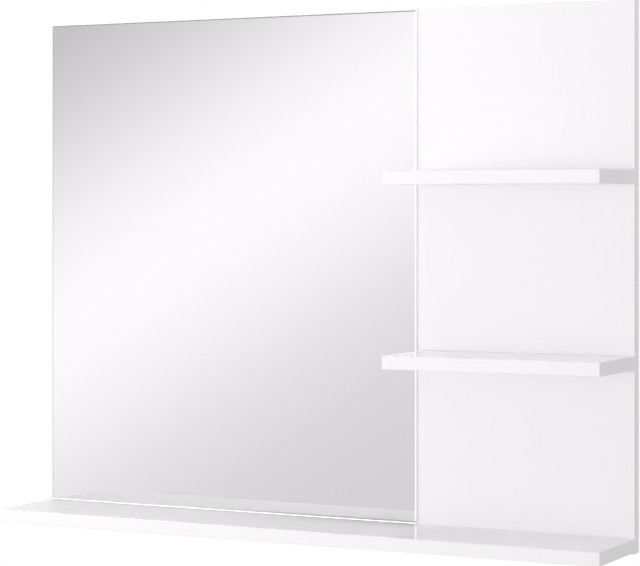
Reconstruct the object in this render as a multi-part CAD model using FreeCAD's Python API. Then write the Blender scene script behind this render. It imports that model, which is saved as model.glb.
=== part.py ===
import FreeCAD, Part
import math
import os

# Wall panel with a fixed mirror plate, two short shelves and one long shelf.
# Millimetres. X runs along the wall, Z up, and the wall plane is Y = 0 with the viewer at -Y.
# The origin lies in the wall plane, halfway between the entry holes of the two keyhole hangers.

Vector = FreeCAD.Vector

# Wall panel
panel_width = 750.0
panel_height = 600.0
panel_thickness = 15.0

# Shelves: lifts run from the panel's lower edge to a shelf's underside
shelf_thickness = 15.0
shelf_depth = 110.0
short_shelf_width = 250.0
long_shelf_lift = 2.0
middle_shelf_lift = 199.0
upper_shelf_rise = 201.0

# Plastic edging glued on the cut edges of the boards
edging_thickness = 1.0
arris_radius = 0.8
arris_share_of_edging = 0.8

# Mirror plate and the double-sided tape that holds it
mirror_thickness = 3.0
mirror_bevel = 1.2
mirror_margin = 2.0
mirror_gap_to_long_shelf = 0.5
mirror_gap_to_short_shelves = 7.5
tape_thickness = 0.5
tape_width = 20.0
tape_inset = 25.0
tape_strips = 5

# Shelf joints: screws in a row, with a dowel midway between each two
long_shelf_screws = 3
short_shelf_screws = 2
screw_inset = 40.0

# Beech dowels, let into the panel as deep as the skin of board in front of them allows
dowel_diameter = 8.0
dowel_length = 30.0
dowel_skin = 5.0

# Shelf screws, driven from behind through the panel into the shelf's back edge
shelf_screw_length = 50.0
shelf_screw_head = 10.0
shelf_screw_thread = 7.0
shelf_screw_core = 5.0
socket_width = 4.0
socket_depth = 3.0

# Keyhole hangers let into the panel's back, inset from its sides and dropped from its top
hanger_inset = 75.0
hanger_drop = 60.0
plate_width = 22.0
plate_length = 62.0
plate_thickness = 2.0
keyhole_entry = 10.0
keyhole_slot = 5.2
keyhole_rise = 12.0
head_pocket_width = 12.0
head_pocket_skin = 5.0

# Countersunk screws of the hangers, with heads as deep as the plate is thick
hanger_screw_spacing = 46.0
hanger_screw_shank = 3.5
hanger_screw_skin = 4.0

# Clearances: round fixings in their holes, room at a fixing's end, plates in their seats
fit_clearance = 0.1
end_room = 0.5
plate_clearance = 0.2

# Places that several pieces share
panel_left = -panel_width / 2
panel_right = panel_width / 2
panel_top = hanger_drop
panel_bottom = panel_top - panel_height
panel_front = -panel_thickness
shelf_front = panel_front - shelf_depth
short_shelf_left = panel_right - short_shelf_width
mirror_left = panel_left + mirror_margin
mirror_right = short_shelf_left - mirror_gap_to_short_shelves
mirror_bottom = panel_bottom + long_shelf_lift + shelf_thickness + mirror_gap_to_long_shelf
mirror_top = panel_top - mirror_margin
mirror_back = panel_front - tape_thickness
mirror_front = mirror_back - mirror_thickness
hanger_reach = panel_right - hanger_inset
keyhole_middle = keyhole_rise / 2
edging_radius = min(arris_radius, edging_thickness * arris_share_of_edging)


class Shelf:
    """The outline of one shelf and the places of its fixings along X."""

    def __init__(self, name, left, lift, screws):
        self.name = name
        self.left = left
        self.right = panel_right
        self.bottom = panel_bottom + lift
        self.top = self.bottom + shelf_thickness
        self.middle_height = (self.bottom + self.top) / 2
        first = self.left + screw_inset
        step = (self.right - self.left - 2 * screw_inset) / (screws - 1)
        self.screws = [first + step * number for number in range(screws)]
        self.dowels = [(one + other) / 2 for one, other in zip(self.screws, self.screws[1:])]


shelves = [
    Shelf("lower_shelf", panel_left, long_shelf_lift, long_shelf_screws),
    Shelf("middle_shelf", short_shelf_left, middle_shelf_lift, short_shelf_screws),
    Shelf("upper_shelf", short_shelf_left, middle_shelf_lift + upper_shelf_rise, short_shelf_screws),
]


# Basic shapes

def block(x_low, x_high, y_low, y_high, z_low, z_high):
    """A box between two corners."""
    return Part.makeBox(x_high - x_low, y_high - y_low, z_high - z_low, Vector(x_low, y_low, z_low))


def turned(profile):
    """A solid of revolution about the Y axis, from (radius, y) points."""
    points = [Vector(radius, along, 0) for radius, along in profile]
    outline = Part.makePolygon(points + points[:1])
    return Part.Face(outline).revolve(Vector(0, 0, 0), Vector(0, 1, 0), 360)


def placed(shape, x, y, z):
    """A copy of a shape, moved."""
    copy = shape.copy()
    copy.translate(Vector(x, y, z))
    return copy


def sunk(outline, depth):
    """A flat outline in the wall plane, given depth towards the viewer."""
    return Part.Face(Part.Wire(outline)).extrude(Vector(0, -depth, 0))


def line(start, end):
    """A straight edge between two (x, z) points of the wall plane."""
    return Part.LineSegment(*[Vector(x, 0, z) for x, z in (start, end)]).toShape()


def arc(start, middle, end):
    """An arc through three (x, z) points of the wall plane."""
    return Part.Arc(*[Vector(x, 0, z) for x, z in (start, middle, end)]).toShape()


def stadium(width, low, high):
    """The outline of an upright slot whose round ends are centred at the heights low and high."""
    half = width / 2
    return [
        line((half, low), (half, high)),
        arc((half, high), (0, high + half), (-half, high)),
        line((-half, high), (-half, low)),
        arc((-half, low), (0, low - half), (half, low)),
    ]


def keyhole():
    """The outline of a keyhole: a round entry with a narrow slot rising from it."""
    entry = keyhole_entry / 2
    half = keyhole_slot / 2
    shoulder = math.sqrt(entry**2 - half**2)
    return [
        line((half, shoulder), (half, keyhole_rise)),
        arc((half, keyhole_rise), (0, keyhole_rise + half), (-half, keyhole_rise)),
        line((-half, keyhole_rise), (-half, shoulder)),
        arc((-half, shoulder), (0, -entry), (half, shoulder)),
    ]


def hexagon(width):
    """A hexagonal outline, given by the width across its flats."""
    corner = width / math.sqrt(3)
    angles = [math.pi / 3 * number for number in range(6)]
    points = [(corner * math.cos(angle), corner * math.sin(angle)) for angle in angles]
    return [line(start, end) for start, end in zip(points, points[1:] + points[:1])]


# Fixings: each lies on the Y axis, from y = 0 towards the viewer.
# With a clearance and room at its end, the form of a fixing is also the hole that takes it.

def dowel(clearance=0.0, room=0.0):
    """One dowel, or the two blind holes that it joins as one plug."""
    radius = dowel_diameter / 2 + clearance
    far = -dowel_length - room
    return turned([(0, room), (radius, room), (radius, far), (0, far)])


def shelf_screw():
    """One shelf screw: a countersunk head with a hexagonal socket, and the core of its thread."""
    head = shelf_screw_head / 2
    core = shelf_screw_core / 2
    end = -shelf_screw_length
    screw = turned([(0, 0), (head, 0), (core, core - head), (core, end), (0, end)])
    return screw.cut(sunk(hexagon(socket_width), socket_depth))


def shelf_screw_hole():
    """The hole for one shelf screw: free for the thread in the panel, a pilot for its core in the shelf."""
    head = shelf_screw_head / 2 + fit_clearance
    thread = shelf_screw_thread / 2 + fit_clearance
    core = shelf_screw_core / 2 + fit_clearance
    end = -shelf_screw_length - end_room
    return turned([
        (0, 0),
        (head, 0),
        (thread, thread - head),
        (thread, panel_front),
        (core, panel_front),
        (core, end),
        (0, end),
    ])


def hanger_screw(clearance=0.0, room=0.0):
    """One countersunk screw of a hanger, with a skin of board left in front of its end."""
    shank = hanger_screw_shank / 2 + clearance
    head = shank + plate_thickness
    end = panel_front + hanger_screw_skin - room
    return turned([(0, 0), (head, 0), (shank, -plate_thickness), (shank, end), (0, end)])


def at_shelf_screws(shape, chosen=shelves):
    """Copies of a shape at the screws of the chosen shelves."""
    return [placed(shape, x, 0, shelf.middle_height) for shelf in chosen for x in shelf.screws]


def at_dowels(shape, chosen=shelves):
    """Copies of a shape at the dowels of the chosen shelves, from their hidden ends in the panel."""
    hidden_end = -dowel_skin
    return [placed(shape, x, hidden_end, shelf.middle_height) for shelf in chosen for x in shelf.dowels]


def at_hangers(shape):
    """Copies of a shape at the left and right hanger."""
    return [placed(shape, side * hanger_reach, 0, 0) for side in (-1, 1)]


def at_hanger_screws(shape):
    """Copies of a shape at the two screws of one hanger, below and above its keyhole."""
    heights = [keyhole_middle + side * hanger_screw_spacing / 2 for side in (-1, 1)]
    return [placed(shape, 0, 0, height) for height in heights]


# Hangers

def hanger_plate_outline(clearance=0.0):
    """The plate's round-ended outline, centred on the keyhole."""
    reach = (plate_length - plate_width) / 2
    return stadium(plate_width + 2 * clearance, keyhole_middle - reach, keyhole_middle + reach)


def hanger_plate():
    """One flush plate with its keyhole and two countersunk holes."""
    plate = sunk(hanger_plate_outline(), plate_thickness)
    plate = plate.cut(sunk(keyhole(), plate_thickness))
    return plate.cut(at_hanger_screws(hanger_screw(fit_clearance, end_room)))


def hanger_pocket():
    """What the panel loses for one hanger: the plate's seat, room for a screw's head and pilot holes."""
    seat = sunk(hanger_plate_outline(plate_clearance), plate_thickness)
    head_room = sunk(stadium(head_pocket_width, 0, keyhole_rise), panel_thickness - head_pocket_skin)
    return seat.fuse([head_room] + at_hanger_screws(hanger_screw(fit_clearance, end_room)))


# Boards and their edging

def back_panel():
    """The panel's board inside its edging, drilled for the shelves and routed for the hangers."""
    board = block(
        panel_left + edging_thickness, panel_right - edging_thickness,
        panel_front, 0,
        panel_bottom + edging_thickness, panel_top - edging_thickness,
    )
    holes = at_shelf_screws(shelf_screw_hole())
    holes += at_dowels(dowel(fit_clearance, end_room))
    holes += at_hangers(hanger_pocket())
    return board.cut(holes)


def shelf_board(shelf):
    """A shelf's board inside its edging, drilled in its back edge."""
    board = block(
        shelf.left + edging_thickness, shelf.right - edging_thickness,
        shelf_front + edging_thickness, panel_front,
        shelf.bottom, shelf.top,
    )
    holes = at_shelf_screws(shelf_screw_hole(), [shelf])
    holes += at_dowels(dowel(fit_clearance, end_room), [shelf])
    return board.cut(holes)


def edging(strip, outward, run=None):
    """A strip of edging with its outer arrises rounded.

    A strip with a run direction ends against other pieces, so only its arrises along the run are rounded.
    A strip without one caps its neighbours, and is rounded at its ends too.
    """
    arrises = []
    for edge in strip.Edges:
        offset = edge.CenterOfMass - strip.CenterOfMass
        along_run = run is None or abs(offset.dot(run)) < edging_thickness
        if offset.dot(outward) > 0 and along_run:
            arrises.append(edge)
    return strip.makeFillet(edging_radius, arrises)


def panel_edging():
    """The four strips round the panel: the top and bottom ones cap the ends of the other two."""
    inner_top = panel_top - edging_thickness
    inner_bottom = panel_bottom + edging_thickness
    inner_left = panel_left + edging_thickness
    inner_right = panel_right - edging_thickness
    top = block(panel_left, panel_right, panel_front, 0, inner_top, panel_top)
    bottom = block(panel_left, panel_right, panel_front, 0, panel_bottom, inner_bottom)
    left = block(panel_left, inner_left, panel_front, 0, inner_bottom, inner_top)
    right = block(inner_right, panel_right, panel_front, 0, inner_bottom, inner_top)
    upwards = Vector(0, 0, 1)
    return {
        "panel_edge_top": edging(top, upwards),
        "panel_edge_bottom": edging(bottom, -upwards),
        "panel_edge_left": edging(left, Vector(-1, 0, 0), upwards),
        "panel_edge_right": edging(right, Vector(1, 0, 0), upwards),
    }


def shelf_edging(shelf):
    """The three strips round a shelf: the front one caps the ends of the other two."""
    inner_front = shelf_front + edging_thickness
    inner_left = shelf.left + edging_thickness
    inner_right = shelf.right - edging_thickness
    front = block(shelf.left, shelf.right, shelf_front, inner_front, shelf.bottom, shelf.top)
    left = block(shelf.left, inner_left, inner_front, panel_front, shelf.bottom, shelf.top)
    right = block(inner_right, shelf.right, inner_front, panel_front, shelf.bottom, shelf.top)
    forwards = Vector(0, -1, 0)
    return {
        shelf.name + "_edge_front": edging(front, forwards),
        shelf.name + "_edge_left": edging(left, Vector(-1, 0, 0), forwards),
        shelf.name + "_edge_right": edging(right, Vector(1, 0, 0), forwards),
    }


# Mirror

def mirror_plate():
    """The frameless plate of glass, with a narrow bevel round its front."""
    plate = block(mirror_left, mirror_right, mirror_front, mirror_back, mirror_bottom, mirror_top)
    centre_depth = plate.CenterOfMass.y
    quarter = mirror_thickness / 4
    front_edges = [edge for edge in plate.Edges if edge.CenterOfMass.y < centre_depth - quarter]
    return plate.makeChamfer(mirror_bevel, front_edges)


def mirror_tape():
    """Upright strips of double-sided tape between mirror and panel."""
    first = mirror_left + tape_inset
    step = (mirror_right - mirror_left - 2 * tape_inset - tape_width) / (tape_strips - 1)
    low = mirror_bottom + tape_inset
    high = mirror_top - tape_inset
    lefts = [first + step * number for number in range(tape_strips)]
    return [block(left, left + tape_width, mirror_back, panel_front, low, high) for left in lefts]


# Assembly

def pieces():
    """Every piece by name; identical fixings share one name."""
    left_plate, right_plate = at_hangers(hanger_plate())
    screw_pair = Part.makeCompound(at_hanger_screws(hanger_screw()))
    named = {
        "back_panel": back_panel(),
        "mirror_plate": mirror_plate(),
        "mirror_tape": Part.makeCompound(mirror_tape()),
        "shelf_dowels": Part.makeCompound(at_dowels(dowel())),
        "shelf_screws": Part.makeCompound(at_shelf_screws(shelf_screw())),
        "hanger_plate_left": left_plate,
        "hanger_plate_right": right_plate,
        "hanger_screws": Part.makeCompound(at_hangers(screw_pair)),
    }
    named.update(panel_edging())
    for shelf in shelves:
        named[shelf.name] = shelf_board(shelf)
        named.update(shelf_edging(shelf))
    return named


os.makedirs("parts", exist_ok=True)
for name, shape in pieces().items():
    shape.exportStep("parts/" + name + ".step")
    print(name, len(shape.Solids), "solids", round(shape.Volume), "mm3", shape.isValid())
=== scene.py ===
import math

import bpy
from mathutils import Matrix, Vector


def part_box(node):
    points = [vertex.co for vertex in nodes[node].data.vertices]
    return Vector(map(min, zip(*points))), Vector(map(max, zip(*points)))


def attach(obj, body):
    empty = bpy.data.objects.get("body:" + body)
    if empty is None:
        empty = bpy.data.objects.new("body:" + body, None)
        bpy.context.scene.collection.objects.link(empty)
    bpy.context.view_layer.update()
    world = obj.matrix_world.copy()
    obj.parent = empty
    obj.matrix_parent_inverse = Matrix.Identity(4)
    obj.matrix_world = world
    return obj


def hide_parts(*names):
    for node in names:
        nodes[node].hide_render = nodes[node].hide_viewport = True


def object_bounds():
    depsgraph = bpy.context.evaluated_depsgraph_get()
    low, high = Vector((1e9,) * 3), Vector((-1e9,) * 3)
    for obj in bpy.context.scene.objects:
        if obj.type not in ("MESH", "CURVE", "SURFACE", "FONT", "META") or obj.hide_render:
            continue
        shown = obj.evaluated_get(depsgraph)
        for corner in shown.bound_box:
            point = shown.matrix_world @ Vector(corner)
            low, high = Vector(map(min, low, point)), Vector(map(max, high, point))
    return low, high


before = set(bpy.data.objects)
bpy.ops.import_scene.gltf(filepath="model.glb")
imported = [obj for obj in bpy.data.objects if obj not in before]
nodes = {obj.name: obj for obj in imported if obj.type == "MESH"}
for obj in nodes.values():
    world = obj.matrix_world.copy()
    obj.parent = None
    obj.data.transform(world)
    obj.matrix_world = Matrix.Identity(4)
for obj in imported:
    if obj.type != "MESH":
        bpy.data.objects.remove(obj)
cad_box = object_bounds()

# Wall mirror panel with three shelves: finishes, fixings, light and camera.
# Metres. The wall plane is Y = 0, the viewer is at -Y and Z is up.

scene = bpy.context.scene
mm = 0.001

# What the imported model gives
panel_low, panel_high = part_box("back_panel")
mirror_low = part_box("mirror_plate")[0]
dowel_low, dowel_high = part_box("shelf_dowels")
shelf_names = ("lower_shelf", "middle_shelf", "upper_shelf")

# Sizes of the fixings
shelf_screw_sizes = {
    "Length": 50 * mm,
    "Head Diameter": 10 * mm,
    "Core Diameter": 5 * mm,
    "Thread Diameter": 7 * mm,
    "Pitch": 3 * mm,
    "Free Length": 8 * mm,
    "Drive Width": 4 * mm,
    "Drive Depth": 3 * mm,
}
hanger_screw_sizes = {
    "Length": 11 * mm,
    "Head Diameter": 7.5 * mm,
    "Core Diameter": 2.4 * mm,
    "Thread Diameter": 3.5 * mm,
    "Pitch": 1.5 * mm,
    "Free Length": 2.4 * mm,
    "Drive Width": 1.0 * mm,
    "Drive Span": 4.2 * mm,
    "Drive Depth": 1.7 * mm,
}
dowel_sizes = {
    "Length": dowel_high.y - dowel_low.y,
    "Diameter": 8 * mm,
    "Flutes": 18,
    "Flute Depth": 0.35 * mm,
    "Chamfer": 1.2 * mm,
}

# Places of the fixings
screw_inset = 40 * mm
long_shelf_screws = 3
short_shelf_screws = 2
hanger_screw_heights = (-17 * mm, 29 * mm)

# Finer shape of the fixings. A thread reaches its full height after half a turn.
screw_sides = 32
screw_tip_share = 0.35
thread_steps = 20
thread_corners = 4
thread_rise_per_turn = 2.0
socket_corners = 6
recess_taper = 0.45
dowel_rings = 51
dowel_end_taper = 0.2
points_per_flute = 6
flute_roundness = 0.5
weld_distance = 0.001 * mm
screw_smooth_angle = 40
dowel_smooth_angle = 50


# Node helpers

# Which sockets of a mix node hold its two inputs and its result
mix_sockets = {"FLOAT": (2, 3, 0), "VECTOR": (4, 5, 1), "RGBA": (6, 7, 2)}


def feed(tree, socket, value):
    """Sets a socket to a value, or joins it to another socket."""
    if isinstance(value, bpy.types.NodeSocket):
        tree.links.new(value, socket)
    else:
        socket.default_value = value


def node(tree, kind, inputs=None, **settings):
    """Adds a node with these settings and inputs."""
    made = tree.nodes.new(kind)
    for key, value in settings.items():
        setattr(made, key, value)
    for key, value in (inputs or {}).items():
        feed(tree, made.inputs[key], value)
    return made


def calc(tree, operation, *values, clamp=False):
    """The result of one step of arithmetic."""
    made = node(tree, "ShaderNodeMath", dict(enumerate(values)), operation=operation, use_clamp=clamp)
    return made.outputs[0]


def vector_calc(tree, operation, *values, **named):
    """The result of one step of vector arithmetic."""
    inputs = {**dict(enumerate(values)), **named}
    return node(tree, "ShaderNodeVectorMath", inputs, operation=operation).outputs[0]


def split(tree, vector):
    """The X, Y and Z parts of a vector."""
    return node(tree, "ShaderNodeSeparateXYZ", {0: vector}).outputs


def combine(tree, **parts):
    """A vector from its X, Y and Z parts. A part that isn't given is 0."""
    return node(tree, "ShaderNodeCombineXYZ", parts).outputs[0]


def blend(tree, kind, share, first, second):
    """A mix of two numbers, vectors or colours."""
    one, other, result = mix_sockets[kind]
    made = node(tree, "ShaderNodeMix", {0: share, one: first, other: second}, data_type=kind)
    return made.outputs[result]


def ramp(tree, value, start, end, first=0.0, last=1.0, shape="LINEAR"):
    """Goes from the first to the last number as the value goes from start to end."""
    limits = {0: value, 1: start, 2: end, 3: first, 4: last}
    return node(tree, "ShaderNodeMapRange", limits, interpolation_type=shape).outputs[0]


def noise(tree, place, scale, detail, roughness=0.5):
    """Soft noise between 0 and 1."""
    inputs = {"Vector": place, "Scale": scale, "Detail": detail, "Roughness": roughness}
    return node(tree, "ShaderNodeTexNoise", inputs).outputs[0]


def swing(tree, value, amount):
    """A value between 0 and 1, turned into a swing about 0."""
    return calc(tree, "MULTIPLY", calc(tree, "SUBTRACT", value, 0.5), amount)


def add_relief(tree, shader, height, distance, strength=1.0):
    """Gives a shader fine relief."""
    bump = node(tree, "ShaderNodeBump", {"Height": height, "Distance": distance, "Strength": strength})
    tree.links.new(bump.outputs[0], shader.inputs["Normal"])


def group(name, inputs, outputs):
    """An empty shader group with named sockets, with what it is given and what it puts out."""
    tree = bpy.data.node_groups.new(name, "ShaderNodeTree")
    for side, sockets in (("INPUT", inputs), ("OUTPUT", outputs)):
        for socket, kind in sockets.items():
            tree.interface.new_socket(socket, in_out=side, socket_type="NodeSocket" + kind)
    return tree, tree.nodes.new("NodeGroupInput").outputs, tree.nodes.new("NodeGroupOutput").inputs


def use_group(tree, shared, inputs):
    """Places a shared group in a material and gives its outputs."""
    return node(tree, "ShaderNodeGroup", inputs, node_tree=shared).outputs


def new_material(name):
    """A material with a Principled shader, its tree and its object coordinates."""
    material = bpy.data.materials.new(name)
    material.use_nodes = True
    tree = material.node_tree
    shader = next(n for n in tree.nodes if n.type == "BSDF_PRINCIPLED")
    place = node(tree, "ShaderNodeTexCoord").outputs["Object"]
    return material, tree, shader, place


# Shared surface effects

dark_chip_tone = (0.42, 0.27, 0.14, 1)
pale_chip_tone = (0.72, 0.54, 0.34, 1)
chip_warp = 4 * mm


def make_gloss_mottle():
    """Faint unevenness of a polished face: haze for its roughness and waves for its bump."""
    tree, given, out = group(
        "gloss_mottle",
        {"Place": "Vector", "Roughness": "Float", "Haze": "Float", "Wave Size": "Float"},
        {"Roughness": "Float", "Height": "Float"},
    )
    smears = noise(tree, given["Place"], scale=14.0, detail=5.0, roughness=0.6)
    haze = swing(tree, smears, given["Haze"])
    tree.links.new(calc(tree, "ADD", given["Roughness"], haze), out["Roughness"])
    wave_scale = calc(tree, "DIVIDE", 1.0, given["Wave Size"])
    tree.links.new(noise(tree, given["Place"], scale=wave_scale, detail=1.0), out["Height"])
    return tree


def make_particle_core():
    """Pressed wood chips, as they show in a drilled hole or a cut pocket."""
    tree, given, out = group(
        "particle_core",
        {"Place": "Vector", "Chip Size": "Float"},
        {"Color": "Color", "Height": "Float"},
    )
    chip_scale = calc(tree, "DIVIDE", 1.0, given["Chip Size"])
    warp = node(tree, "ShaderNodeTexNoise", {"Vector": given["Place"], "Scale": 90.0, "Detail": 2.0})
    shift = vector_calc(tree, "SCALE", warp.outputs["Color"], Scale=chip_warp)
    moved = vector_calc(tree, "ADD", given["Place"], shift)
    chips = node(tree, "ShaderNodeTexVoronoi", {"Vector": moved, "Scale": chip_scale})
    tone = node(tree, "ShaderNodeSeparateColor", {0: chips.outputs["Color"]}).outputs[0]
    tree.links.new(blend(tree, "RGBA", tone, dark_chip_tone, pale_chip_tone), out["Color"])
    tree.links.new(chips.outputs["Distance"], out["Height"])
    return tree


def make_metal_grain():
    """Fine drawn lines and cloudy patches of a plated metal."""
    tree, given, out = group(
        "metal_grain",
        {"Place": "Vector", "Stretch": "Vector", "Roughness": "Float", "Spread": "Float"},
        {"Roughness": "Float", "Patches": "Float", "Height": "Float"},
    )
    drawn = vector_calc(tree, "MULTIPLY", given["Place"], given["Stretch"])
    lines = noise(tree, drawn, scale=900.0, detail=3.0)
    patches = noise(tree, given["Place"], scale=160.0, detail=4.0, roughness=0.65)
    lined = calc(tree, "ADD", given["Roughness"], swing(tree, lines, given["Spread"]))
    clouded = calc(tree, "ADD", lined, swing(tree, patches, given["Spread"]))
    tree.links.new(clouded, out["Roughness"])
    tree.links.new(patches, out["Patches"])
    tree.links.new(lines, out["Height"])
    return tree


gloss_mottle = make_gloss_mottle()
particle_core = make_particle_core()
metal_grain = make_metal_grain()


# Finishes

white_tone = (0.93, 0.93, 0.935, 1)
skin_depth = 0.15 * mm
chip_size = 1.8 * mm
core_roughness = 0.9
decor_wave_share = 0.02
backing_tone = (0.74, 0.735, 0.72, 1)
backing_fleck_tone = (0.64, 0.635, 0.62, 1)
backing_grain = 0.7 * mm
backing_fleck_start, backing_fleck_full = 0.55, 0.75
backing_roughness, backing_roughness_spread = 0.4, 0.3
edging_tone = (0.96, 0.96, 0.965, 1)

silver_tone = (0.95, 0.95, 0.95, 1)
cut_glass_tone = (0.92, 0.95, 0.94, 1)
cut_glass_roughness = 0.08
mirror_paint_tone = (0.56, 0.57, 0.57, 1)
mirror_paint_roughness = 0.6
facing_share = 0.3
mirror_bevel = 1.2 * mm
bevel_lean = (-0.55, 1.3, -0.55)
right_bevel_lift = 0.12
bottom_bevel_turn = -0.107
# Painted dark reflections in the colour of the mirror's left and top bevels
left_bevel_painted_reflection_tone = (0.12, 0.12, 0.12, 1)
top_bevel_painted_reflection_tone = (0.6, 0.6, 0.6, 1)
# A painted dark reflection of the shade on the shelf: a line above the mirror's bottom bevel, faint at the
# left
painted_reflection_line_tone = (0.62, 0.62, 0.62, 1)
painted_reflection_line_width = 1.9 * mm
painted_reflection_line_start, painted_reflection_line_full = -0.18, -0.03

foam_hollow_tone = (0.70, 0.70, 0.68, 1)
foam_wall_tone = (0.88, 0.88, 0.86, 1)
foam_cell = 0.4 * mm
foam_roughness = 0.9

beech_dark_tone = (0.50, 0.31, 0.17, 1)
beech_pale_tone = (0.76, 0.56, 0.37, 1)
beech_fleck_tone = (0.30, 0.16, 0.08, 1)
beech_stretch = (1, 0.06, 1)
beech_fleck_start, beech_fleck_share = 0.64, 0.6
beech_roughness, beech_roughness_spread = 0.45, 0.25

zinc_blue_tone = (0.62, 0.64, 0.68, 1)
zinc_yellow_tone = (0.79, 0.785, 0.755, 1)
zinc_bloom_start, zinc_bloom_full = 0.35, 0.65
zinc_spread = 0.22
plate_stretch, plate_roughness = (1, 1, 0.04), 0.34
screw_stretch, screw_roughness = (1, 0.2, 1), 0.28


def mottled(tree, place, roughness, haze, wave_size):
    """The shared unevenness of a polished face, in these amounts."""
    amounts = {"Place": place, "Roughness": roughness, "Haze": haze, "Wave Size": wave_size}
    return use_group(tree, gloss_mottle, amounts)


def near_face(tree, along, face):
    """1 on the face that lies at this coordinate, 0 inside the board."""
    return calc(tree, "LESS_THAN", calc(tree, "ABSOLUTE", calc(tree, "SUBTRACT", along, face)), skin_depth)


def coated_board(name, axis, front, back, back_is_gloss):
    """High-gloss white decor on a chipboard core; the core shows in holes and pockets."""
    material, tree, shader, place = new_material(name)
    along = split(tree, place)[axis]
    front_skin = near_face(tree, along, front)
    back_skin = near_face(tree, along, back)
    gloss = mottled(tree, place, roughness=0.02, haze=0.012, wave_size=18 * mm)
    core = use_group(tree, particle_core, {"Place": place, "Chip Size": chip_size})
    back_tone = white_tone
    back_roughness = gloss["Roughness"]
    if not back_is_gloss:
        flecks = noise(tree, place, scale=1 / backing_grain, detail=3.0)
        fleck = ramp(tree, flecks, backing_fleck_start, backing_fleck_full)
        back_tone = blend(tree, "RGBA", fleck, backing_tone, backing_fleck_tone)
        uneven = calc(tree, "MULTIPLY", flecks, backing_roughness_spread)
        back_roughness = calc(tree, "ADD", backing_roughness, uneven)
    decor = blend(tree, "RGBA", front_skin, back_tone, white_tone)
    skin = calc(tree, "MAXIMUM", front_skin, back_skin)
    tree.links.new(blend(tree, "RGBA", skin, core["Color"], decor), shader.inputs["Base Color"])
    decor_roughness = blend(tree, "FLOAT", front_skin, back_roughness, gloss["Roughness"])
    roughness = blend(tree, "FLOAT", skin, core_roughness, decor_roughness)
    tree.links.new(roughness, shader.inputs["Roughness"])
    decor_waves = calc(tree, "MULTIPLY", gloss["Height"], decor_wave_share)
    relief = blend(tree, "FLOAT", skin, core["Height"], decor_waves)
    add_relief(tree, shader, relief, distance=0.4 * mm, strength=0.5)
    return material


def plastic_edging(name):
    """White plastic edging: duller than the decor, and faintly uneven."""
    material, tree, shader, place = new_material(name)
    shader.inputs["Base Color"].default_value = edging_tone
    grain = mottled(tree, place, roughness=0.24, haze=0.08, wave_size=4 * mm)
    tree.links.new(grain["Roughness"], shader.inputs["Roughness"])
    add_relief(tree, shader, grain["Height"], distance=0.02 * mm, strength=0.3)
    return material


def silvered_glass(name):
    """Mirror glass silvered at the back.

    Its bevel shows what the silver reflects through the slanted glass, so there the surface acts
    like a mirror that leans the other way. The right bevel looks up a little, over the shelf below it,
    and the bottom bevel looks a little to the left. The left and top bevels are darkened by a
    painted dark reflection in their colour, and a line above the bottom bevel holds a painted dark
    reflection of the shade on the shelf, faint at the left. The cut sides are polished and throw back
    what is beside them.
    """
    material, tree, shader, place = new_material(name)
    facing = node(tree, "ShaderNodeNewGeometry").outputs["Normal"]
    to_right, to_wall, upwards = split(tree, facing)
    silvered = calc(tree, "LESS_THAN", to_wall, -facing_share)
    painted = calc(tree, "GREATER_THAN", to_wall, facing_share)
    right_bevel = calc(tree, "MULTIPLY", silvered, calc(tree, "GREATER_THAN", to_right, facing_share))
    # Masks for the painted dark reflections on the left and top bevels
    left_bevel_painted_reflection = calc(tree, "MULTIPLY", silvered, calc(tree, "LESS_THAN", to_right, -facing_share))
    top_bevel_painted_reflection = calc(tree, "MULTIPLY", silvered, calc(tree, "GREATER_THAN", upwards, facing_share))
    bottom_bevel = calc(tree, "MULTIPLY", silvered, calc(tree, "LESS_THAN", upwards, -facing_share))
    turn = combine(
        tree,
        X=calc(tree, "MULTIPLY", bottom_bevel, bottom_bevel_turn),
        Z=calc(tree, "MULTIPLY", right_bevel, right_bevel_lift),
    )
    leaning = vector_calc(tree, "ADD", vector_calc(tree, "MULTIPLY", facing, bevel_lean), turn)
    leaning = vector_calc(tree, "NORMALIZE", leaning)
    tree.links.new(blend(tree, "VECTOR", silvered, facing, leaning), shader.inputs["Normal"])
    # A painted dark reflection line above the bottom bevel, fading out towards the left
    across, _, up = split(tree, place)
    above_bevel = calc(tree, "SUBTRACT", up, mirror_low.z + mirror_bevel)
    over_bevel = calc(tree, "GREATER_THAN", above_bevel, 0.0)
    in_painted_reflection_line = calc(tree, "MULTIPLY", over_bevel, calc(tree, "LESS_THAN", above_bevel, painted_reflection_line_width))
    painted_reflection_line = calc(tree, "MULTIPLY", in_painted_reflection_line, ramp(tree, across, painted_reflection_line_start, painted_reflection_line_full))
    silver = blend(tree, "RGBA", painted_reflection_line, silver_tone, painted_reflection_line_tone)
    # Painted dark reflections on the left and top bevels
    silver = blend(tree, "RGBA", left_bevel_painted_reflection, silver, left_bevel_painted_reflection_tone)
    silver = blend(tree, "RGBA", top_bevel_painted_reflection, silver, top_bevel_painted_reflection_tone)
    side = blend(tree, "RGBA", painted, cut_glass_tone, mirror_paint_tone)
    tree.links.new(blend(tree, "RGBA", silvered, side, silver), shader.inputs["Base Color"])
    tree.links.new(calc(tree, "SUBTRACT", 1.0, painted), shader.inputs["Metallic"])
    haze = mottled(tree, place, roughness=0.012, haze=0.01, wave_size=50 * mm)
    side_roughness = blend(tree, "FLOAT", painted, cut_glass_roughness, mirror_paint_roughness)
    roughness = blend(tree, "FLOAT", silvered, side_roughness, haze["Roughness"])
    tree.links.new(roughness, shader.inputs["Roughness"])
    return material


def foam_strip(name):
    """White double-sided foam tape with fine open cells."""
    material, tree, shader, place = new_material(name)
    cells = node(tree, "ShaderNodeTexVoronoi", {"Vector": place, "Scale": 1 / foam_cell}).outputs["Distance"]
    tree.links.new(blend(tree, "RGBA", cells, foam_hollow_tone, foam_wall_tone), shader.inputs["Base Color"])
    shader.inputs["Roughness"].default_value = foam_roughness
    add_relief(tree, shader, cells, distance=0.2 * mm)
    return material


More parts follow.
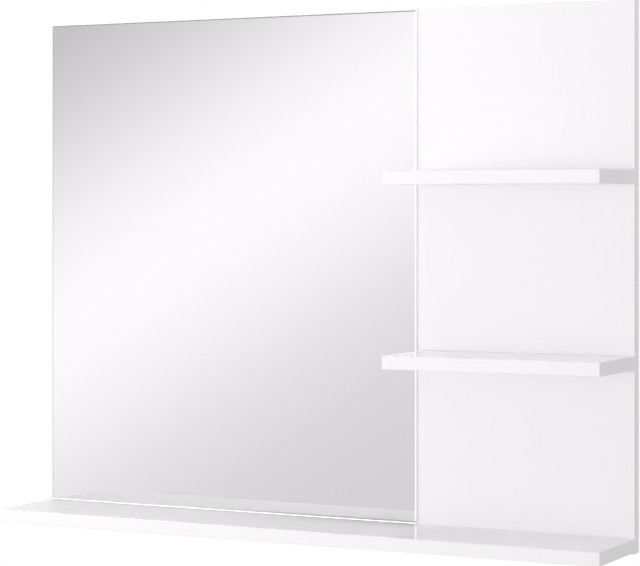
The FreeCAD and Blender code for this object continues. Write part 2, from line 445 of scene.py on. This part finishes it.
def beech_wood(name):
    """Beech with its grain along Y and short dark flecks."""
    material, tree, shader, place = new_material(name)
    drawn = vector_calc(tree, "MULTIPLY", place, beech_stretch)
    grain = noise(tree, drawn, scale=900.0, detail=4.0)
    flecks = noise(tree, drawn, scale=2600.0, detail=1.0)
    wood = blend(tree, "RGBA", grain, beech_dark_tone, beech_pale_tone)
    fleck = calc(tree, "GREATER_THAN", flecks, beech_fleck_start)
    share = calc(tree, "MULTIPLY", fleck, beech_fleck_share)
    tree.links.new(blend(tree, "RGBA", share, wood, beech_fleck_tone), shader.inputs["Base Color"])
    uneven = calc(tree, "MULTIPLY", grain, beech_roughness_spread)
    tree.links.new(calc(tree, "ADD", beech_roughness, uneven), shader.inputs["Roughness"])
    add_relief(tree, shader, grain, distance=0.1 * mm, strength=0.6)
    return material


def zinc_plated(name, stretch, roughness):
    """Bright zinc plating with drawn lines and a faint blue and yellow bloom."""
    material, tree, shader, place = new_material(name)
    amounts = {"Place": place, "Stretch": stretch, "Roughness": roughness, "Spread": zinc_spread}
    grain = use_group(tree, metal_grain, amounts)
    bloom = ramp(tree, grain["Patches"], zinc_bloom_start, zinc_bloom_full)
    tree.links.new(blend(tree, "RGBA", bloom, zinc_blue_tone, zinc_yellow_tone), shader.inputs["Base Color"])
    shader.inputs["Metallic"].default_value = 1.0
    tree.links.new(grain["Roughness"], shader.inputs["Roughness"])
    add_relief(tree, shader, grain["Height"], distance=0.04 * mm, strength=0.5)
    return material


def dress(material, *names):
    """Gives CAD nodes their finish."""
    for name in names:
        held = nodes[name].data.materials
        held.clear()
        held.append(material)


across_panel, across_shelf = 1, 2
dress(coated_board("gloss_panel_board", across_panel, panel_low.y, panel_high.y, False), "back_panel")
for shelf in shelf_names:
    low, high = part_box(shelf)
    dress(coated_board("gloss_" + shelf + "_board", across_shelf, high.z, low.z, True), shelf)
edging_names = [name for name in nodes if "_edge_" in name]
dress(plastic_edging("white_edging"), *edging_names)
dress(silvered_glass("silvered_glass"), "mirror_plate")
dress(foam_strip("foam_tape"), "mirror_tape")
zinc_plate = zinc_plated("zinc_plate", plate_stretch, plate_roughness)
dress(zinc_plate, "hanger_plate_left", "hanger_plate_right")
zinc_screw = zinc_plated("zinc_screw", screw_stretch, screw_roughness)
beech = beech_wood("beech_dowel")


# Geometry trees for the fixings. Each is modelled along Z with its head or rear end at z = 0, and is
# placed with its tip towards the viewer.

def fixing_tree(name, sizes, material):
    """A geometry tree that takes points and named sizes, what it is given, and its last step."""
    tree = bpy.data.node_groups.new(name, "GeometryNodeTree")
    tree.interface.new_socket("Places", in_out="INPUT", socket_type="NodeSocketGeometry")
    for size, value in sizes.items():
        kind = "NodeSocketInt" if isinstance(value, int) else "NodeSocketFloat"
        tree.interface.new_socket(size, in_out="INPUT", socket_type=kind)
    tree.interface.new_socket("Fixings", in_out="OUTPUT", socket_type="NodeSocketGeometry")
    given = tree.nodes.new("NodeGroupInput").outputs

    def finish(shape):
        """Puts the shape on each point and gives the tree."""
        turned = node(tree, "GeometryNodeTransform", {"Geometry": shape, "Rotation": (-math.pi / 2, 0, 0)})
        points = node(tree, "GeometryNodeMeshToPoints", {"Mesh": given["Places"]})
        copied = {"Points": points.outputs[0], "Instance": turned.outputs[0]}
        copies = node(tree, "GeometryNodeInstanceOnPoints", copied)
        real = node(tree, "GeometryNodeRealizeInstances", {"Geometry": copies.outputs[0]})
        coated = node(tree, "GeometryNodeSetMaterial", {"Geometry": real.outputs[0], "Material": material})
        node(tree, "NodeGroupOutput", {"Fixings": coated.outputs[0]})
        return tree

    return tree, given, finish


def lifted(tree, shape, height):
    """A shape moved along Z."""
    moved = {"Geometry": shape, "Translation": combine(tree, Z=height)}
    return node(tree, "GeometryNodeTransform", moved).outputs[0]


def lathe_section(tree, top, bottom, upper, lower):
    """The open wall of a turned section between two heights."""
    sizes = {
        "Vertices": screw_sides,
        "Radius Top": top,
        "Radius Bottom": bottom,
        "Depth": calc(tree, "SUBTRACT", upper, lower),
    }
    wall = node(tree, "GeometryNodeMeshCone", sizes, fill_type="NONE")
    return lifted(tree, wall.outputs["Mesh"], lower)


def disc(tree, radius, height, downward):
    """A flat end face of a turned shape."""
    sizes = {"Vertices": screw_sides, "Radius": radius}
    face = node(tree, "GeometryNodeMeshCircle", sizes, fill_type="NGON").outputs[0]
    if downward:
        face = node(tree, "GeometryNodeFlipFaces", {"Mesh": face}).outputs[0]
    return lifted(tree, face, height)


def joined(tree, *shapes):
    """Several shapes as one."""
    made = tree.nodes.new("GeometryNodeJoinGeometry")
    for shape in reversed(shapes):
        tree.links.new(shape, made.inputs[0])
    return made.outputs[0]


def swept(tree, path, outline, scale):
    """An outline swept along a path, with closed ends."""
    inputs = {"Curve": path, "Profile Curve": outline, "Scale": scale, "Fill Caps": True}
    return node(tree, "GeometryNodeCurveToMesh", inputs).outputs[0]


def screw_tree(name, sizes, cutters, material):
    """A countersunk screw with a drive recess, a free shank, a wound thread and a blunt point."""
    tree, given, finish = fixing_tree(name, sizes, material)
    head = calc(tree, "DIVIDE", given["Head Diameter"], 2.0)
    core = calc(tree, "DIVIDE", given["Core Diameter"], 2.0)
    cone = calc(tree, "SUBTRACT", core, head)
    end = calc(tree, "MULTIPLY", given["Length"], -1.0)
    point_start = calc(tree, "ADD", end, given["Core Diameter"])
    tip = calc(tree, "MULTIPLY", core, screw_tip_share)
    body = joined(
        tree,
        disc(tree, head, 0.0, False),
        lathe_section(tree, head, core, 0.0, cone),
        lathe_section(tree, core, core, cone, point_start),
        lathe_section(tree, core, tip, point_start, end),
        disc(tree, tip, end, True),
    )
    body = node(tree, "GeometryNodeMergeByDistance", {"Geometry": body, "Distance": weld_distance}).outputs[0]
    cut = node(tree, "GeometryNodeMeshBoolean", {"Mesh 1": body}, operation="DIFFERENCE", solver="MANIFOLD")
    for cutter in cutters(tree, given):
        tree.links.new(cutter, cut.inputs["Mesh 2"])
    start = calc(tree, "MULTIPLY", given["Free Length"], -1.0)
    wound = calc(tree, "SUBTRACT", start, point_start)
    turns = calc(tree, "DIVIDE", wound, given["Pitch"])
    winding = {
        "Resolution": thread_steps,
        "Rotations": turns,
        "Start Radius": core,
        "End Radius": core,
        "Height": wound,
    }
    helix = node(tree, "GeometryNodeCurveSpiral", winding)
    upright = node(tree, "GeometryNodeSetCurveNormal", {"Curve": helix.outputs[0]}, mode="Z_UP")
    walked = node(tree, "GeometryNodeSplineParameter").outputs["Factor"]
    to_end = calc(tree, "MINIMUM", walked, calc(tree, "SUBTRACT", 1.0, walked))
    turns_to_end = calc(tree, "MULTIPLY", to_end, turns)
    run_out = calc(tree, "MULTIPLY", turns_to_end, thread_rise_per_turn, clamp=True)
    height = calc(tree, "SUBTRACT", given["Thread Diameter"], given["Core Diameter"])
    ridge = calc(tree, "DIVIDE", height, 2.0)
    section = node(tree, "GeometryNodeCurvePrimitiveCircle", {"Resolution": thread_corners, "Radius": ridge})
    thread = swept(tree, upright.outputs[0], section.outputs[0], run_out)
    return finish(joined(tree, cut.outputs[0], lifted(tree, thread, point_start)))


def hexagon_socket(tree, given):
    """A hexagonal prism that cuts the socket of a shelf screw."""
    corner = calc(tree, "DIVIDE", given["Drive Width"], math.sqrt(3))
    depth = calc(tree, "MULTIPLY", given["Drive Depth"], 2.0)
    sizes = {"Vertices": socket_corners, "Radius": corner, "Depth": depth}
    return [node(tree, "GeometryNodeMeshCylinder", sizes).outputs["Mesh"]]


def cross_recess(tree, given):
    """Two crossed bars, narrower downwards, that cut the recess of a hanger screw."""
    depth = calc(tree, "MULTIPLY", given["Drive Depth"], 2.0)
    spans = (given["Drive Span"], given["Drive Width"])
    x, y, z = split(tree, node(tree, "GeometryNodeInputPosition").outputs[0])
    narrowing = calc(tree, "MULTIPLY", calc(tree, "DIVIDE", z, given["Drive Depth"]), recess_taper)
    share = calc(tree, "ADD", 1.0, narrowing)
    narrowed = combine(tree, X=calc(tree, "MULTIPLY", x, share), Y=calc(tree, "MULTIPLY", y, share), Z=z)
    bars = []
    for length, width in (spans, spans[::-1]):
        size = combine(tree, X=length, Y=width, Z=depth)
        bar = node(tree, "GeometryNodeMeshCube", {"Size": size}).outputs["Mesh"]
        wedge = node(tree, "GeometryNodeSetPosition", {"Geometry": bar, "Position": narrowed})
        bars.append(wedge.outputs[0])
    return bars


def dowel_tree(name, sizes, material):
    """A fluted dowel with tapered ends."""
    tree, given, finish = fixing_tree(name, sizes, material)
    radius = calc(tree, "DIVIDE", given["Diameter"], 2.0)
    outline_points = sizes["Flutes"] * points_per_flute
    around = node(tree, "GeometryNodeCurvePrimitiveCircle", {"Resolution": outline_points, "Radius": 1.0})
    x, y, _ = split(tree, node(tree, "GeometryNodeInputPosition").outputs[0])
    angle = calc(tree, "MULTIPLY", calc(tree, "ARCTAN2", y, x), given["Flutes"])
    arch = calc(tree, "ABSOLUTE", calc(tree, "SINE", calc(tree, "DIVIDE", angle, 2.0)))
    wave = calc(tree, "POWER", arch, flute_roundness)
    shrink = calc(tree, "MULTIPLY", calc(tree, "SUBTRACT", 1.0, wave), given["Flute Depth"])
    local_radius = calc(tree, "SUBTRACT", radius, shrink)
    fluted = vector_calc(tree, "SCALE", combine(tree, X=x, Y=y), Scale=local_radius)
    outline = node(tree, "GeometryNodeSetPosition", {"Geometry": around.outputs[0], "Position": fluted})
    end = combine(tree, Z=calc(tree, "MULTIPLY", given["Length"], -1.0))
    axis = node(tree, "GeometryNodeCurvePrimitiveLine", {"End": end})
    axis = node(tree, "GeometryNodeResampleCurve", {"Curve": axis.outputs[0], "Count": dowel_rings})
    walked = node(tree, "GeometryNodeSplineParameter").outputs["Length"]
    to_end = calc(tree, "MINIMUM", walked, calc(tree, "SUBTRACT", given["Length"], walked))
    inward = calc(tree, "DIVIDE", to_end, given["Chamfer"], clamp=True)
    narrowing = calc(tree, "MULTIPLY", calc(tree, "SUBTRACT", 1.0, inward), dowel_end_taper)
    width = calc(tree, "SUBTRACT", 1.0, narrowing)
    return finish(swept(tree, axis.outputs[0], outline.outputs[0], width))


def fixings(name, tree, sizes, places, replaced, smooth_angle):
    """Puts a tree's fixings at their places, as one plain mesh that stands for the CAD node."""
    points = bpy.data.meshes.new(name + "_places")
    points.from_pydata(places, [], [])
    holder = bpy.data.objects.new(name + "_places", points)
    scene.collection.objects.link(holder)
    modifier = holder.modifiers.new("fixings", "NODES")
    modifier.node_group = tree
    for socket in tree.interface.items_tree:
        if socket.name in sizes:
            modifier[socket.identifier] = sizes[socket.name]
    evaluated = holder.evaluated_get(bpy.context.evaluated_depsgraph_get())
    mesh = bpy.data.meshes.new_from_object(evaluated)
    bpy.data.objects.remove(holder)
    bpy.data.meshes.remove(points)
    mesh.name = name
    # The mesh primitives of the tree bring an empty first slot
    if mesh.materials[0] is None:
        mesh.materials.pop(index=0)
    mesh.shade_smooth()
    mesh.set_sharp_from_angle(angle=math.radians(smooth_angle))
    piece = bpy.data.objects.new(name, mesh)
    scene.collection.objects.link(piece)
    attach(piece, "root")
    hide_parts(replaced)


def shelf_fixing_places():
    """Places of the shelf screws' heads, and of the rear ends of the dowels midway between them."""
    screws, dowels = [], []
    for shelf in shelf_names:
        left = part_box(shelf + "_edge_left")[0].x
        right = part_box(shelf + "_edge_right")[1].x
        low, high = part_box(shelf)
        count = long_shelf_screws if shelf == "lower_shelf" else short_shelf_screws
        step = (right - left - 2 * screw_inset) / (count - 1)
        height = (low.z + high.z) / 2
        row = [left + screw_inset + step * number for number in range(count)]
        screws += [(x, 0, height) for x in row]
        dowels += [((one + other) / 2, dowel_high.y, height) for one, other in zip(row, row[1:])]
    return screws, dowels


shelf_screw_places, dowel_places = shelf_fixing_places()
hanger_middles = [sum(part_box("hanger_plate_" + side), Vector()).x / 2 for side in ("left", "right")]
hanger_screw_places = [(x, 0, z) for x in hanger_middles for z in hanger_screw_heights]
shelf_screw = screw_tree("shelf_screw", shelf_screw_sizes, hexagon_socket, zinc_screw)
hanger_screw = screw_tree("hanger_screw", hanger_screw_sizes, cross_recess, zinc_screw)
fluted_dowel = dowel_tree("fluted_dowel", dowel_sizes, beech)
fixings("threaded_shelf_screws", shelf_screw, shelf_screw_sizes, shelf_screw_places,
        "shelf_screws", screw_smooth_angle)
fixings("threaded_hanger_screws", hanger_screw, hanger_screw_sizes, hanger_screw_places,
        "hanger_screws", screw_smooth_angle)
fixings("fluted_shelf_dowels", fluted_dowel, dowel_sizes, dowel_places,
        "shelf_dowels", dowel_smooth_angle)


# Studio. Angles are in degrees.

light_tint = (1.0, 0.97, 1.0)
plain_white = (1, 1, 1, 1)
left_direction, front_direction, wall_direction = (-1, 0, 0), (0, -1, 0), (0, 1, 0)
smooth = "SMOOTHSTEP"
soft_edge, firm_edge = 2.0, 4.0

# The tilted bright band and the halves below and above the horizon, as they light the object and as
# reflections show them
band_normal = (-0.4938, 0.2749, 0.825)
band_peak = 1.03
band_drop_above, band_width_above = 0.555, 4.95
band_drop_below, band_width_below = 0.34, 4.3
horizon_width = 17.0
rise_start, rise_end = -20.0, 30.0
soft_low, soft_high = 0.64, 0.63
shown_low, shown_high = 0.55, 0.45

# The backdrop and the tall box at the left, which show only in reflections
backdrop_right, backdrop_left = 0.5, 0.66
backdrop_start, backdrop_full = -0.05, 0.1
backdrop_left_start, backdrop_left_full = 0.1, 0.3
left_box_turn, left_box_width = 47.5, 9.0
left_box_top, left_box_fade, left_box_slant = 30.2, 2.0, 0.45
left_box_level, left_box_top_level = 1.12, 1.7
left_box_rise_start, left_box_rise_end = 6.0, 18.0

# Lights
panel_middle = (0.0, 0.0, -0.2)
open_beam = 180

# Floor
floor_drop = 1.05
floor_radius = 5.0
floor_rim_points = 96
floor_fade_start = 1.6
floor_roughness = 0.7
no_height = (1, 1, 0)
floor_dark_tone = (0.76, 0.76, 0.76, 1)
floor_light_tone = (0.82, 0.82, 0.82, 1)

# Camera, fitted to the corners of panel, mirror and shelves in the photograph
camera_place = (1.17752, -2.34420, -0.16866)
camera_turn = 0.470084
focal_px, horizon_px = 2259.68, 210.84
frame_width_px, frame_height_px = 640, 566
sensor_width = 36.0
clip_end = 50.0


def studio_world():
    """White for the camera, and soft light for the object.

    The light is a tilted bright band near the horizon, between a low and a high half. Reflections
    show more: a grey backdrop behind the object, lighter at the left, and a tall soft box at the
    left with a slanted top.
    """
    world = bpy.data.worlds.new("white_studio")
    scene.world = world
    world.use_nodes = True
    tree = world.node_tree
    tree.nodes.clear()
    towards = node(tree, "ShaderNodeTexCoord").outputs["Generated"]

    def falloff(angle, width, power):
        """Near 1 at angle 0, and 0 well past the width."""
        share = calc(tree, "DIVIDE", calc(tree, "ABSOLUTE", angle), width)
        return calc(tree, "EXPONENT", calc(tree, "MULTIPLY", calc(tree, "POWER", share, power), -1.0))

    def along(direction):
        """The share of the looking direction that lies along this one."""
        product = node(tree, "ShaderNodeVectorMath", {0: towards, 1: direction}, operation="DOT_PRODUCT")
        return product.outputs["Value"]

    def in_degrees(angle):
        """An angle turned from radians into degrees."""
        return calc(tree, "MULTIPLY", angle, 180 / math.pi)

    def mixed(share, first, second):
        """A mix of two levels."""
        return blend(tree, "FLOAT", share, first, second)

    band_angle = in_degrees(calc(tree, "ARCSINE", along(band_normal)))
    above = calc(tree, "GREATER_THAN", band_angle, 0.0)
    band_width = mixed(above, band_width_below, band_width_above)
    band_drop = mixed(above, band_drop_below, band_drop_above)
    off_band = calc(tree, "SUBTRACT", 1.0, falloff(band_angle, band_width, soft_edge))
    band = calc(tree, "SUBTRACT", band_peak, calc(tree, "MULTIPLY", band_drop, off_band))
    elevation = in_degrees(calc(tree, "ARCSINE", split(tree, towards)[2]))
    rise = ramp(tree, elevation, rise_start, rise_end, shape=smooth)
    near_horizon = falloff(elevation, horizon_width, firm_edge)
    soft = mixed(near_horizon, mixed(rise, soft_low, soft_high), band)
    shown = mixed(near_horizon, mixed(rise, shown_low, shown_high), band)

    turned = in_degrees(calc(tree, "ARCTAN2", along(left_direction), along(front_direction)))
    beside_box = calc(tree, "SUBTRACT", turned, left_box_turn)
    slanted = calc(tree, "ADD", elevation, calc(tree, "MULTIPLY", beside_box, left_box_slant))
    under_top = ramp(tree, slanted, left_box_top, left_box_top + left_box_fade, 1.0, 0.0, smooth)
    left_box = calc(tree, "MULTIPLY", falloff(beside_box, left_box_width, firm_edge), under_top)
    box_rise = ramp(tree, elevation, left_box_rise_start, left_box_rise_end, shape=smooth)
    shown = mixed(left_box, shown, mixed(box_rise, left_box_level, left_box_top_level))

    behind = ramp(tree, along(wall_direction), backdrop_start, backdrop_full, shape=smooth)
    leftward = ramp(tree, along(left_direction), backdrop_left_start, backdrop_left_full)
    shown = mixed(behind, shown, mixed(leftward, backdrop_right, backdrop_left))

    path = node(tree, "ShaderNodeLightPath").outputs
    strength = mixed(path["Is Glossy Ray"], soft, shown)
    lit = node(tree, "ShaderNodeBackground", {"Color": (*light_tint, 1), "Strength": strength})
    plain = node(tree, "ShaderNodeBackground", {"Color": plain_white, "Strength": 1.0})
    sides = {0: path["Is Camera Ray"], 1: lit.outputs[0], 2: plain.outputs[0]}
    chosen = node(tree, "ShaderNodeMixShader", sides)
    node(tree, "ShaderNodeOutputWorld", {0: chosen.outputs[0]})


def soft_light(name, place, target, width, height, power, beam):
    """A soft light with a beam this many degrees wide, which mirrors and gloss don't show."""
    lamp = bpy.data.lights.new(name, "AREA")
    lamp.shape = "RECTANGLE"
    lamp.size, lamp.size_y = width, height
    lamp.energy = power
    lamp.spread = math.radians(beam)
    lamp.color = light_tint
    holder = bpy.data.objects.new(name, lamp)
    holder.location = place
    holder.rotation_euler = (Vector(target) - Vector(place)).to_track_quat("-Z", "Y").to_euler()
    holder.visible_glossy = False
    holder.visible_camera = False
    scene.collection.objects.link(holder)


def pale_floor():
    """A plain pale floor that fades out to the white background, and hides nothing from below."""
    turns = [2 * math.pi * n / floor_rim_points for n in range(floor_rim_points)]
    level = cad_box[0].z - floor_drop
    rim = [(floor_radius * math.cos(turn), floor_radius * math.sin(turn), level) for turn in turns]
    mesh = bpy.data.meshes.new("pale_floor")
    mesh.from_pydata(rim, [], [list(range(floor_rim_points))])
    floor = bpy.data.objects.new("pale_floor", mesh)
    scene.collection.objects.link(floor)
    material, tree, shader, place = new_material("pale_floor")
    shader.inputs["Roughness"].default_value = floor_roughness
    speckle = noise(tree, place, scale=60.0, detail=3.0)
    tone = blend(tree, "RGBA", speckle, floor_dark_tone, floor_light_tone)
    tree.links.new(tone, shader.inputs["Base Color"])
    flat = vector_calc(tree, "MULTIPLY", place, no_height)
    away = node(tree, "ShaderNodeVectorMath", {0: flat}, operation="LENGTH").outputs["Value"]
    fade = ramp(tree, away, floor_fade_start, floor_radius, 1.0, 0.0, smooth)
    from_above = calc(tree, "SUBTRACT", 1.0, node(tree, "ShaderNodeNewGeometry").outputs["Backfacing"])
    tree.links.new(calc(tree, "MULTIPLY", fade, from_above), shader.inputs["Alpha"])
    mesh.materials.append(material)


def photo_camera():
    """The camera of the photograph."""
    lens = bpy.data.cameras.new("photo_camera")
    lens.sensor_fit = "HORIZONTAL"
    lens.sensor_width = sensor_width
    lens.lens = focal_px / frame_width_px * sensor_width
    lens.shift_y = (horizon_px - frame_height_px / 2) / frame_width_px
    lens.clip_end = clip_end
    camera = bpy.data.objects.new("photo_camera", lens)
    camera.location = camera_place
    camera.rotation_euler = (math.pi / 2, 0, camera_turn)
    scene.collection.objects.link(camera)
    scene.camera = camera


studio_world()
soft_light("front_light", place=(0.12, -9.0, -0.235), target=(-0.5, 0.0, 0.25),
           width=1.2, height=0.4, power=9.5, beam=30)
soft_light("left_light", place=(-1.2, -1.5, -0.25), target=panel_middle,
           width=0.5, height=0.3, power=2.55, beam=open_beam)
soft_light("shelf_light", place=(-0.08, -0.12, 1.5), target=(-0.32, -0.07, -0.523),
           width=0.2, height=0.4, power=0.86, beam=33)
soft_light("back_light", place=(-1.2, 4.0, 0.8), target=panel_middle,
           width=1.5, height=1.0, power=50.0, beam=open_beam)
soft_light("right_light", place=(0.95, 0.35, 0.5), target=(0.375, -0.05, -0.1),
           width=0.4, height=0.4, power=0.9, beam=open_beam)
pale_floor()
photo_camera()
scene.view_settings.view_transform = "Standard"
